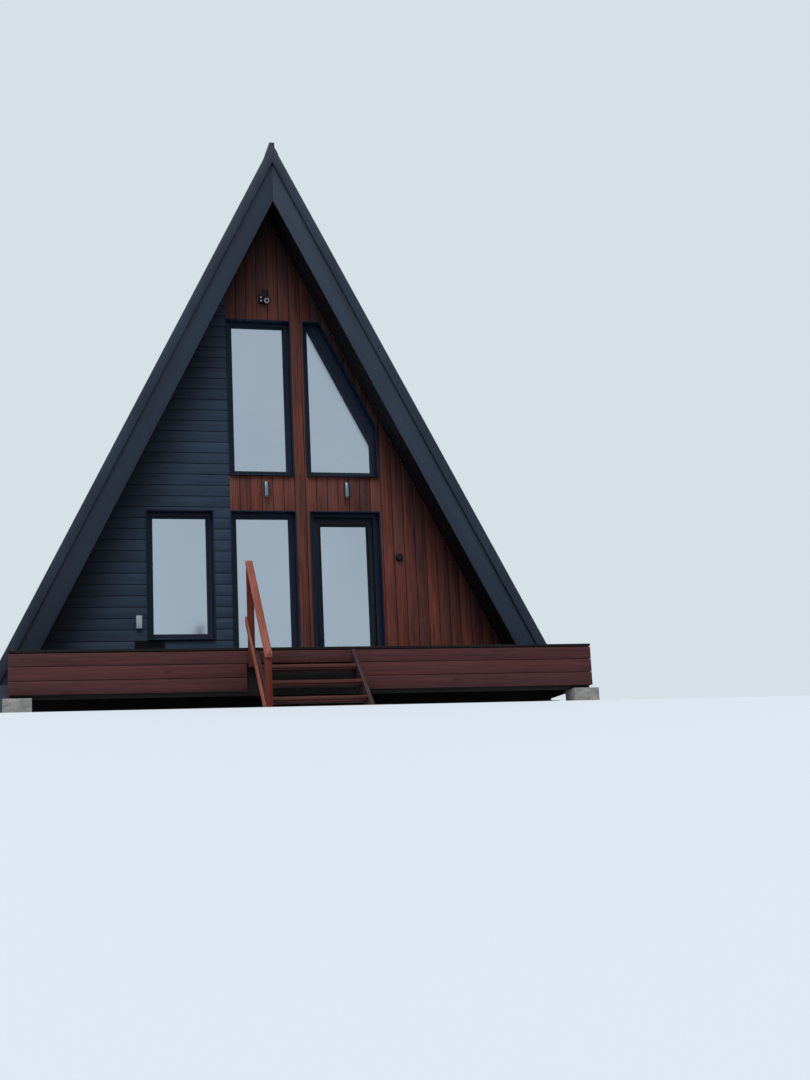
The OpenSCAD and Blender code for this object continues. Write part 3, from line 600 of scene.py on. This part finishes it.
def addDisc(bm, seat, outward, radius, tall, segments, taper):     # low round head that stands on its seat
    outward = Vector(outward)
    turn = outward.to_track_quat("Z", "Y").to_matrix().to_4x4()
    lift = Matrix.Translation(Vector(seat) + outward * tall / 2)
    bmesh.ops.create_cone(bm, cap_ends=True, segments=segments, radius1=radius, radius2=radius * taper,
                          depth=tall, matrix=lift @ turn)


def sidesOf(corners):     # each side of a convex outline as a point on it and its outward direction
    return [(Vector((*a, 0)), Vector((b[1] - a[1], a[0] - b[0], 0)).normalized())
            for a, b in zip(corners, corners[1:] + corners[:1])]


onCut = 0.05 * mm            # corners this near to a cut lie on it, so cuts along one line leave no sliver
smallestBoard = 0.0001       # square metres: what is smaller is a chip that the saw leaves out


def flatBoards(strips, outline, holes, thick, edge, gap=0):
    # boards are drawn flat in X and Y, cut to the outline and round the holes, and thickened downwards
    bm = bmesh.new()
    for u0, v0, u1, v1 in strips:
        bm.faces.new([bm.verts.new((u, v, 0)) for u, v in ((u0, v0), (u1, v0), (u1, v1), (u0, v1))])
    for point, outward in sidesOf(outline):
        bmesh.ops.bisect_plane(bm, geom=everything(bm), dist=onCut, plane_co=point, plane_no=outward,
                               clear_outer=True)
    for hole in holes:
        sides = sidesOf(hole)
        for point, outward in sides:
            bmesh.ops.bisect_plane(bm, geom=everything(bm), dist=onCut, plane_co=point, plane_no=outward)
        inside = [f for f in bm.faces
                  if all((f.calc_center_median() - point).dot(outward) < 0 for point, outward in sides)]
        bmesh.ops.delete(bm, geom=inside, context="FACES")
    bmesh.ops.dissolve_limit(bm, angle_limit=0.01, verts=bm.verts[:], edges=bm.edges[:])
    chips = [f for f in bm.faces if f.calc_area() < smallestBoard]
    bmesh.ops.delete(bm, geom=chips, context="FACES")
    made = bmesh.ops.extrude_face_region(bm, geom=bm.faces[:])
    bmesh.ops.translate(bm, verts=vertsOf(made), vec=(0, 0, -thick))
    bmesh.ops.recalc_face_normals(bm, faces=bm.faces[:])
    if edge:     # only the edges of the upper side are eased
        rim = [e for e in bm.edges
               if all(abs(v.co.z) < thick / 2 for v in e.verts) and e.calc_face_angle(0) > sharpAngle]
        easeEdges(bm, rim, edge)
    bmesh.ops.translate(bm, verts=bm.verts[:], vec=(0, 0, gap))
    return bm


def addAll(target, source):     # joins a finished bmesh into another
    carrier = bpy.data.meshes.new("carrier")
    source.to_mesh(carrier)
    source.free()
    target.from_mesh(carrier)
    bpy.data.meshes.remove(carrier)


upright = Matrix.Rotation(math.radians(90), 4, "X")
onFront = Matrix.Translation((0, wallFace, 0)) @ upright
onBack = Matrix.Translation((0, backFace, 0)) @ Matrix.Rotation(math.pi, 4, "Z") @ upright

# openings, drawn in X and Z
sillDrop = 6 * mm     # the sill's nose hangs this far below its opening


def openingOf(node, drop=sillDrop):
    low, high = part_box(node)
    return [(low.x, low.z + drop), (high.x, low.z + drop), (high.x, high.z), (low.x, high.z)]


lowLeft = openingOf("window_low_left")
lowMid = openingOf("window_low_mid")
upLeft = openingOf("window_up_left")
doorway = openingOf("door_frame", 0)
slantLow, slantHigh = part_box("window_up_right")
slantOff = roofLayers["slantWindow"]
upRight = [(slantLow.x, slantLow.z + sillDrop), (slantHigh.x, slantLow.z + sillDrop),
           (slantHigh.x, planeHeight(slantHigh.x, slantOff)),
           (planeReach(slantHigh.z, slantOff), slantHigh.z), (slantLow.x, slantHigh.z)]
mirroredLow = [(-x, z) for x, z in reversed(lowLeft)]
windowWide = upLeft[1][0] - upLeft[0][0]
upBack = [(x - upLeft[0][0] - windowWide / 2, z) for x, z in upLeft]
cornerX = lowMid[0][0]     # where dark boards meet red ones

# cladding: shadow-joint boards, dark ones lying, red ones standing
cladding = {
    "cover": 148 * mm,           # from joint to joint
    "joint": 9 * mm,             # open width of a joint
    "face": 12 * mm,             # from a board's face to the tongue behind
    "tongue": 8 * mm,
    "round": 2.5 * mm,
    "foot": 12 * mm,             # clear of the terrace
    "firstLying": 126 * mm,      # first joint above the terrace
    "firstStanding": 134 * mm,   # first joint right of the corner
    "lower": 3,                  # lying boards that the back has below the terrace's level
}


def stripsBetween(start, stop, firstJoint, values):     # faces of the boards along one direction
    edges = [start]
    joint = firstJoint
    while joint < stop:
        if joint > start:
            edges.append(joint)
        joint += values["cover"]
    edges.append(stop)
    half = values["joint"] / 2
    last = len(edges) - 2
    return [(edges[i] + (half if i else 0), edges[i + 1] - (half if i < last else 0))
            for i in range(last + 1)]


def makeCladding(name, values, strips, whole, outline, holes, place, finishes, stands, seed):
    bm = flatBoards(strips, outline, holes, values["face"], values["round"])
    tongues = flatBoards([whole], outline, holes, values["tongue"], 0, -values["face"])
    # the tongues take the second finish, a painted shade for the deep joints
    for face in tongues.faces:
        face.material_index = 1
    addAll(bm, tongues)
    toneByBoard(bm, seed)
    bm.transform(place)
    piece = finishPiece(name, bm, finishes[0], stands=stands)
    piece.data.materials.append(finishes[1])


def gable(foot):     # outline of an end wall up to the soffit boards
    reach = planeReach(foot, roofLayers["soffitFace"])
    return [(-reach, foot), (reach, foot), (0, planeHeight(0, roofLayers["soffitFace"]))]


cladFoot = deckTop + cladding["foot"]
frontGable = gable(cladFoot)
frontReach = frontGable[1][0]
gableTop = frontGable[2][1]
firstLying = deckTop + cladding["firstLying"]
lying = stripsBetween(cladFoot, gableTop, firstLying, cladding)
makeCladding("cladding_dark_front", cladding, [(-frontReach, a, cornerX, b) for a, b in lying],
             (-frontReach, cladFoot, cornerX, gableTop), frontGable, [lowLeft],
             onFront, (darkBoards, darkTongues), ["siding_dark_front"], seed=4)
standing = stripsBetween(cornerX, frontReach, cornerX + cladding["firstStanding"], cladding)
makeCladding("cladding_red_front", cladding, [(a, cladFoot, b, gableTop) for a, b in standing],
             (cornerX, cladFoot, frontReach, gableTop), frontGable, [lowMid, upLeft, upRight, doorway],
             onFront, (redBoards, redTongues), ["siding_red_front"], seed=11)
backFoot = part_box("siding_dark_back")[0].z
backGable = gable(backFoot)
backReach = backGable[1][0]
lyingBack = stripsBetween(backFoot, gableTop, firstLying - cladding["lower"] * cladding["cover"], cladding)
makeCladding("cladding_dark_back", cladding, [(-backReach, a, backReach, b) for a, b in lyingBack],
             (-backReach, backFoot, backReach, gableTop), backGable, [lowLeft, mirroredLow, upBack],
             onBack, (darkBoards, darkTongues), ["siding_dark_back"], seed=8)
print("cladding made")

# soffit: long boards that run up the slope under both overhangs
soffit = {
    "boards": 4,
    "joint": 7 * mm,
    "round": 2 * mm,
}


def makeSoffits(values):
    depth = roofLayers["soffitFace"]
    thick = depth - roofLayers["soffitBack"]
    half = values["joint"] / 2
    length = (planeHeight(0, depth) - eaveZ) / math.sin(pitch)
    # local X runs down the slope, local Z points down out of the boards
    slope = Matrix(((math.cos(pitch), 0, -math.sin(pitch), 0), (0, 1, 0, 0),
                    (-math.sin(pitch), 0, -math.cos(pitch), planeHeight(0, depth)), (0, 0, 0, 1)))
    bm = bmesh.new()
    low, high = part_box("soffits")
    for start, stop in ((low.y, wallFace), (backFace, high.y)):
        cover = (stop - start) / values["boards"]
        strips = [(0, start + i * cover + half, length, start + (i + 1) * cover - half)
                  for i in range(values["boards"])]
        outline = [(0, start), (length, start), (length, stop), (0, stop)]
        for side in (1, -1):
            part = flatBoards(strips, outline, [], thick, values["round"])
            part.transform(Matrix.Diagonal((side, 1, 1, 1)) @ slope)
            addAll(bm, part)
    toneByBoard(bm, seed=3)
    finishPiece("soffit_boards", bm, soffitBoards, stands=["soffits"])


makeSoffits(soffit)

# roof edges and sheet
roofEdges = {
    "boardRound": 3 * mm,
    "sheetRound": 1.5 * mm,
}
for node, paint, seed in (("barge_front_left", bargeLeft, 1), ("barge_front_right", bargeRight, 1),
                          ("barge_back_left", bargeLeft, 3), ("barge_back_right", bargeRight, 4)):
    roundedNode(node, paint, roofEdges["boardRound"], seed)
for node in ("verge_flashings", "ridge_cap"):
    roundedNode(node, coatedSteel, roofEdges["sheetRound"])
roundedNode("eave_boards", eavePaint, roofEdges["boardRound"], seed=5)
for node in ("roof_sheet_left", "roof_sheet_right"):
    dress(node, coatedSteel)
print("roof made")

# terrace: boards lie across, with open joints and screws over every joist
terrace = {
    "boards": 18,
    "joint": 6 * mm,
    "round": 2.5 * mm,
    "joists": 11,
    "notchClear": 12 * mm,        # between the boards and the barge boards beside them
    # painted shade: faces whose normal's Z is below this take the nearly black edge finish
    "shadeBelowNormalZ": 0.5,            # faces are worn where their normal's Z is at least this
    "screwRadius": 4.5 * mm,
    "screwTall": 0.8 * mm,
    "screwSunk": 0.3 * mm,        # the part of that height that is in the wood
    "screwInset": 28 * mm,        # from a board's edge
    "screwEnd": 50 * mm,          # from the end of the boards to the first row
    "fasciaShadow": 10 * mm,      # open line under the boards' front edge
    "fasciaBack": 3 * mm,         # the fascia stands this far behind that edge
    "fasciaRound": 3 * mm,
    "fasciaInset": 32 * mm,       # from a fascia board's edge to its screws
    "fasciaEnd": 20 * mm,         # least distance of a screw from its end
    "bearerRound": 3 * mm,
    "footingRound": 8 * mm,
}


def addScrew(bm, spot, outward, values):
    seat = Vector(spot) - Vector(outward) * values["screwSunk"]
    addDisc(bm, seat, outward, values["screwRadius"], values["screwTall"], segments=8, taper=0.8)


def makeTerrace(values):
    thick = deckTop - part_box("deck_boards")[0].z
    cover = (wallFace - deckFront) / values["boards"]
    half = values["joint"] / 2
    edges = [deckFront + i * cover for i in range(values["boards"] + 1)]
    strips = [(-deckSide, start + (half if start > deckFront else 0), deckSide, stop - half)
              for start, stop in zip(edges, edges[1:])]
    outline = [(-deckSide, deckFront), (deckSide, deckFront), (deckSide, wallFace), (-deckSide, wallFace)]
    notchSide = planeReach(deckTop, roofLayers["bargeEdge"]) - values["notchClear"]
    beyond = 100 * mm     # the cut starts this far outside the boards
    notch = [(notchSide, notchFront), (deckSide + beyond, notchFront),
             (deckSide + beyond, wallFace + beyond), (notchSide, wallFace + beyond)]
    mirrored = [(-x, y) for x, y in reversed(notch)]
    bm = flatBoards(strips, outline, [notch, mirrored], thick, values["round"])
    toneByBoard(bm, seed=21)
    bm.transform(Matrix.Translation((0, 0, deckTop)))
    # painted shade on the edges and undersides of the boards
    for face in bm.faces:
        face.material_index = 1 if face.normal.z < values["shadeBelowNormalZ"] else 0
    piece = finishPiece("terrace_boards", bm, deckWood, stands=["deck_boards"])
    piece.data.materials.append(deckEdge)
    span = 2 * (notchSide - values["screwEnd"])
    rows = [-span / 2 + i * span / (values["joists"] - 1) for i in range(values["joists"])]
    bm = bmesh.new()
    for x in rows:
        for _, front, _, back in strips:
            for y in (front + values["screwInset"], back - values["screwInset"]):
                addScrew(bm, (x, y, deckTop), (0, 0, 1), values)
    finishPiece("terrace_screws", bm, stainless)
    return rows


screwRows = makeTerrace(terrace)


def makeFascia(values):
    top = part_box("fascia_front")[1].z
    shift = values["fasciaBack"]
    inset = values["fasciaInset"]
    end = values["fasciaEnd"]
    rows = [values["screwEnd"] - deckSide, *screwRows, deckSide - values["screwEnd"]]
    source = mergedCopy("fascia_front", "fascia_sides")
    boards = []
    for board in boardsOf(source):
        corners = [vert.co.copy() for vert in board]
        boards.append([Vector([side(c[i] for c in corners) for i in range(3)]) for side in (min, max)])
    source.free()
    boards.sort(key=lambda pair: [round(pair[0][i], 3) for i in (2, 0, 1)])     # from the lowest up
    bm = bmesh.new()
    screws = bmesh.new()
    for low, high in boards:
        if high.z > top - mm:
            high.z -= values["fasciaShadow"]
        across = high.x - low.x > high.y - low.y
        if across:
            low.y += shift
        elif low.x < 0:
            low.x += shift
        else:
            high.x -= shift
        addBox(bm, low, high)
        for x in rows:
            if across and low.x + end < x < high.x - end:
                for z in (low.z + inset, high.z - inset):
                    addScrew(screws, (x, low.y, z), (0, -1, 0), values)
    easeEdges(bm, outerEdges(bm), values["fasciaRound"])
    toneByBoard(bm, seed=563)
    finishPiece("fascia_boards", bm, fasciaBoards, stands=["fascia_front", "fascia_sides"])
    finishPiece("fascia_screws", screws, coatedScrews)


makeFascia(terrace)
for node in ("deck_joists", "floor_beams", "deck_beams"):
    # the bearers take the timber with painted shade
    roundedNode(node, shadedBearerTimber, terrace["bearerRound"], seed=6)
roundedNode("footings", concrete, terrace["footingRound"], segments=3)
print("terrace made")

# stair: every plank and bearer is a board of its own, with eased edges
stair = {
    "treadRound": 5 * mm,
    "stringerRound": 4 * mm,
    "railRound": 5 * mm,         # posts and rails
}


def spread(corners, axis):     # the different places of some corners along one axis, in order
    return sorted({round(corner[axis], 4) for corner in corners})


def makeTreads(values):
    source = mergedCopy("treads")
    corners = [v.co.copy() for v in source.verts]
    source.free()
    low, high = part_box("treads")
    levels = spread(corners, axis=2)
    bm = bmesh.new()
    for bottom, middle, top in zip(levels[0::3], levels[1::3], levels[2::3]):
        ahead, front, back, behind = spread([c for c in corners if abs(c.z - top) < mm], axis=1)
        addBox(bm, (low.x, ahead, middle), (high.x, front, top))
        addBox(bm, (low.x, back, middle), (high.x, behind, top))
        carrier = spread([c for c in corners if abs(c.z - bottom) < mm], axis=1)
        addBox(bm, (low.x, carrier[0], bottom), (high.x, carrier[-1], middle))
    easeEdges(bm, outerEdges(bm), values["treadRound"])
    toneByBoard(bm, seed=9)
    finishPiece("stair_treads", bm, treadWood, stands=["treads"])


makeTreads(stair)
roundedNode("stringers", stringerWood, stair["stringerRound"], seed=2)
roundedNode("stair_posts", postWood, stair["railRound"], seed=3)
roundedNode("stair_rails", railWood, stair["railRound"], seed=733)
print("stair made")

# windows, door and glass
glazing = {
    "frameRound": 1.5 * mm,
    "handleRound": 1 * mm,
    "gasketWide": 9 * mm,
    "gasketProud": 4 * mm,
}
for node in ("window_low_left", "window_low_mid", "window_up_left", "window_up_right", "windows_back",
             "door_frame"):
    roundedNode(node, powderCoat, glazing["frameRound"])
# the door leaf takes the coat with painted shade
roundedNode("door_leaf", sashCoat, glazing["frameRound"])
roundedNode("door_handle", anodised, glazing["handleRound"])
for node in ("glass_ground", "glass_upper", "door_glass"):
    dress(node, glass)


def makeGaskets(name, nodes, body, values):     # a frame of rubber on the outer side of each pane
    bm = mergedCopy(*nodes)
    middle = (wallFace + backFace) / 2
    # the faces that look away from the middle of the house
    outer = [f for f in bm.faces if f.normal.y * math.copysign(1, f.calc_center_median().y - middle) > 0.9]
    kept = set(outer)
    bmesh.ops.delete(bm, geom=[f for f in bm.faces if f not in kept], context="FACES")
    bmesh.ops.inset_individual(bm, faces=outer, thickness=values["gasketWide"], use_even_offset=True)
    bmesh.ops.delete(bm, geom=outer, context="FACES")
    for vert in vertsOf(bmesh.ops.extrude_face_region(bm, geom=bm.faces[:])):
        vert.co.y += math.copysign(values["gasketProud"], vert.co.y - middle)
    finishPiece(name, bm, rubber, body)


makeGaskets("window_gaskets", ["glass_ground", "glass_upper"], "house", glazing)
makeGaskets("door_gasket", ["door_glass"], "door", glazing)
print("windows and door made")

# inside: bare spruce
for node in ("wall_front_left", "wall_front_piers", "wall_front_right", "wall_front_band",
             "wall_front_upper_right", "wall_front_gable", "wall_back_ground", "wall_back_upper"):
    dress(node, spruceUpright)
for node in ("ground_floor", "upper_floor"):
    dress(node, spruceLengthways)
for node in ("roof_left", "roof_right"):
    dress(node, roofTimber)

# wall lamps: a frosted cover in the recess at both ends of each tube
wallLamps = {
    "tubeRadius": 37 * mm,
    "tubeWell": 14 * mm,        # depth of the recess
    "round": 1 * mm,
    "coverRadius": 32.5 * mm,
    "coverThick": 5 * mm,
}


def makeLampCovers(values):
    low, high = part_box("wall_lamps")
    radius = values["tubeRadius"]
    bm = bmesh.new()
    for x in (low.x + radius, high.x - radius):
        for z, up in ((low.z, -1), (high.z, 1)):
            seat = (x, low.y + radius, z - up * values["tubeWell"])
            addDisc(bm, seat, (0, 0, up), values["coverRadius"], values["coverThick"],
                    segments=32, taper=0.97)
    finishPiece("wall_lamp_covers", bm, lensGlass)


roundedNode("wall_lamps", lampMetal, wallLamps["round"])
makeLampCovers(wallLamps)

# security light: a frosted ring round a black dome in the head, and two small lights beside it
securityLight = {
    "round": 3 * mm,
    "head": (-42 * mm, 97.9 * mm, 5077.3 * mm),          # aside, ahead of the wall, above the terrace
    "tilt": 12,                                          # degrees down
    "well": 8 * mm,                                      # depth of the recess in the head
    "ring": (22 * mm, 33 * mm, 6 * mm),                  # inner and outer radius, height
    "domeFlat": 0.45,                                    # height of the dome as a share of its radius
    "diodes": [(-116 * mm, 62 * mm, 5083 * mm), (-116 * mm, 62 * mm, 5131 * mm)],
    "diodeRadius": 13 * mm,
    "diodeTall": 5 * mm,
    "diodeSunk": 1 * mm,
}


def onWall(place):     # a place that is given aside, ahead of the wall and above the terrace
    aside, ahead, above = place
    return Vector((aside, wallFace - ahead, deckTop + above))


def makeSecurityLenses(values):
    # local Z points out of the head, and the floor of the recess is at zero
    facing = Matrix.Rotation(math.radians(90 + values["tilt"]), 4, "X")
    seat = Matrix.Translation(onWall(values["head"])) @ facing @ Matrix.Translation((0, 0, -values["well"]))
    inner, outer, tall = values["ring"]
    bm = bmesh.new()
    section = [bm.verts.new((x, 0, z)) for x, z in ((inner, 0), (outer, 0), (outer, tall), (inner, tall))]
    edges = [bm.edges.new(pair) for pair in zip(section, section[1:] + section[:1])]
    bmesh.ops.spin(bm, geom=section + edges, cent=(0, 0, 0), axis=(0, 0, 1), angle=2 * math.pi, steps=32,
                   use_merge=True)
    bm.transform(seat)
    for place in values["diodes"]:
        base = onWall(place) + Vector((0, values["diodeSunk"], 0))
        addDisc(bm, base, (0, -1, 0), values["diodeRadius"], values["diodeTall"], segments=24, taper=0.85)
    finishPiece("security_light_ring", bm, lensGlass)
    bm = bmesh.new()
    bmesh.ops.create_uvsphere(bm, u_segments=24, v_segments=12, radius=inner,
                              matrix=seat @ Matrix.Diagonal((1, 1, values["domeFlat"], 1)))
    finishPiece("security_light_dome", bm, blackPlastic)


roundedNode("security_light", blackPlastic, securityLight["round"])
makeSecurityLenses(securityLight)

# moulded boxes on the walls, with the radius of each one's edges
wallBoxes = {
    "boxRound": 16 * mm,
    "socketRound": 6 * mm,
    "ventRound": 1 * mm,
}
roundedNode("junction_box", blackPlastic, wallBoxes["boxRound"], segments=5)
roundedNode("wall_socket", palePlastic, wallBoxes["socketRound"])
roundedNode("vent_grille", ventPlastic, wallBoxes["ventRound"])
print("fittings made")

# stage: level ground under the house that falls away in front, pale, with a pale world round it
stage = {
    "ground": "#d3d8dd",
    "backdrop": "#d6e0e7",
    "half": 90.0,                # metres from the middle to each side and to the back
    "crest": 12 * mm,            # the level part ends this far in front of the stair
    "flatEdge": 1.0,             # metres of the level part that the shading rounds off towards the slope
    "slope": [(0.5, 0.056), (1.5, 0.2), (4.0, 0.62), (10.0, 1.7), (84.0, 15.4)],     # run and drop beyond it
    "skyColor": "#dce6f2",
    "skyStrength": 0.62,
}


def makeStage(values):
    half = values["half"]
    front = cadBox[0].y - values["crest"]
    line = [(half, 0.0), (front + values["flatEdge"], 0.0), (front, 0.0)]
    line += [(front - run, -drop) for run, drop in values["slope"]]
    bm = bmesh.new()
    verts = [bm.verts.new((-half, y, z)) for y, z in line]
    edges = [bm.edges.new(pair) for pair in zip(verts, verts[1:])]
    made = bmesh.ops.extrude_edge_only(bm, edges=edges)
    bmesh.ops.translate(bm, verts=vertsOf(made), vec=(2 * half, 0, 0))
    bmesh.ops.recalc_face_normals(bm, faces=bm.faces[:])
    if bm.faces[:][0].normal.z < 0:
        bmesh.ops.reverse_faces(bm, faces=bm.faces[:])
    mesh = bpy.data.meshes.new("stage_floor")
    bm.to_mesh(mesh)
    bm.free()
    mesh.shade_smooth()
    matt = startMaterial("pale_matt_floor", Base_Color=hexColor(values["ground"]), Roughness=0.9)[0]
    mesh.materials.append(matt)
    floor = bpy.data.objects.new("stage_floor", mesh)
    scene.collection.objects.link(floor)


def makeWorld(values):     # the camera, metal and glass see the backdrop, and the rest is lit by the sky
    world = bpy.data.worlds.new("pale_studio")
    world.use_nodes = True
    tree = world.node_tree
    path = addNode(tree, "ShaderNodeLightPath").outputs
    seen = addNode(tree, "ShaderNodeMath", {0: path["Is Camera Ray"], 1: path["Is Glossy Ray"]},
                   operation="ADD").outputs[0]
    seen = addNode(tree, "ShaderNodeMath", {0: seen, 1: path["Is Transmission Ray"]},
                   operation="ADD", use_clamp=True).outputs[0]
    sky = [c * values["skyStrength"] for c in hexColor(values["skyColor"])[:3]] + [1.0]
    color = addNode(tree, "ShaderNodeMix", {0: seen, 6: sky, 7: hexColor(values["backdrop"])},
                    data_type="RGBA").outputs[2]
    tree.links.new(color, tree.nodes["Background"].inputs["Color"])
    scene.world = world


makeStage(stage)
makeWorld(stage)

lamps = {
    "keyStrength": 2.4,          # sun lamp with a very wide disc, as light through cloud
    "keyWide": 50,               # degrees
    "keyFrom": (-0.3, -0.62, 1.0),
}


def makeLamps(values):
    data = bpy.data.lights.new("cloud_light", "SUN")
    data.energy = values["keyStrength"]
    data.angle = math.radians(values["keyWide"])
    lamp = bpy.data.objects.new("cloud_light", data)
    lamp.rotation_euler = Vector(values["keyFrom"]).to_track_quat("Z", "Y").to_euler()
    scene.collection.objects.link(lamp)


makeLamps(lamps)
scene.view_settings.view_transform = "Standard"
print("stage and lamps made")
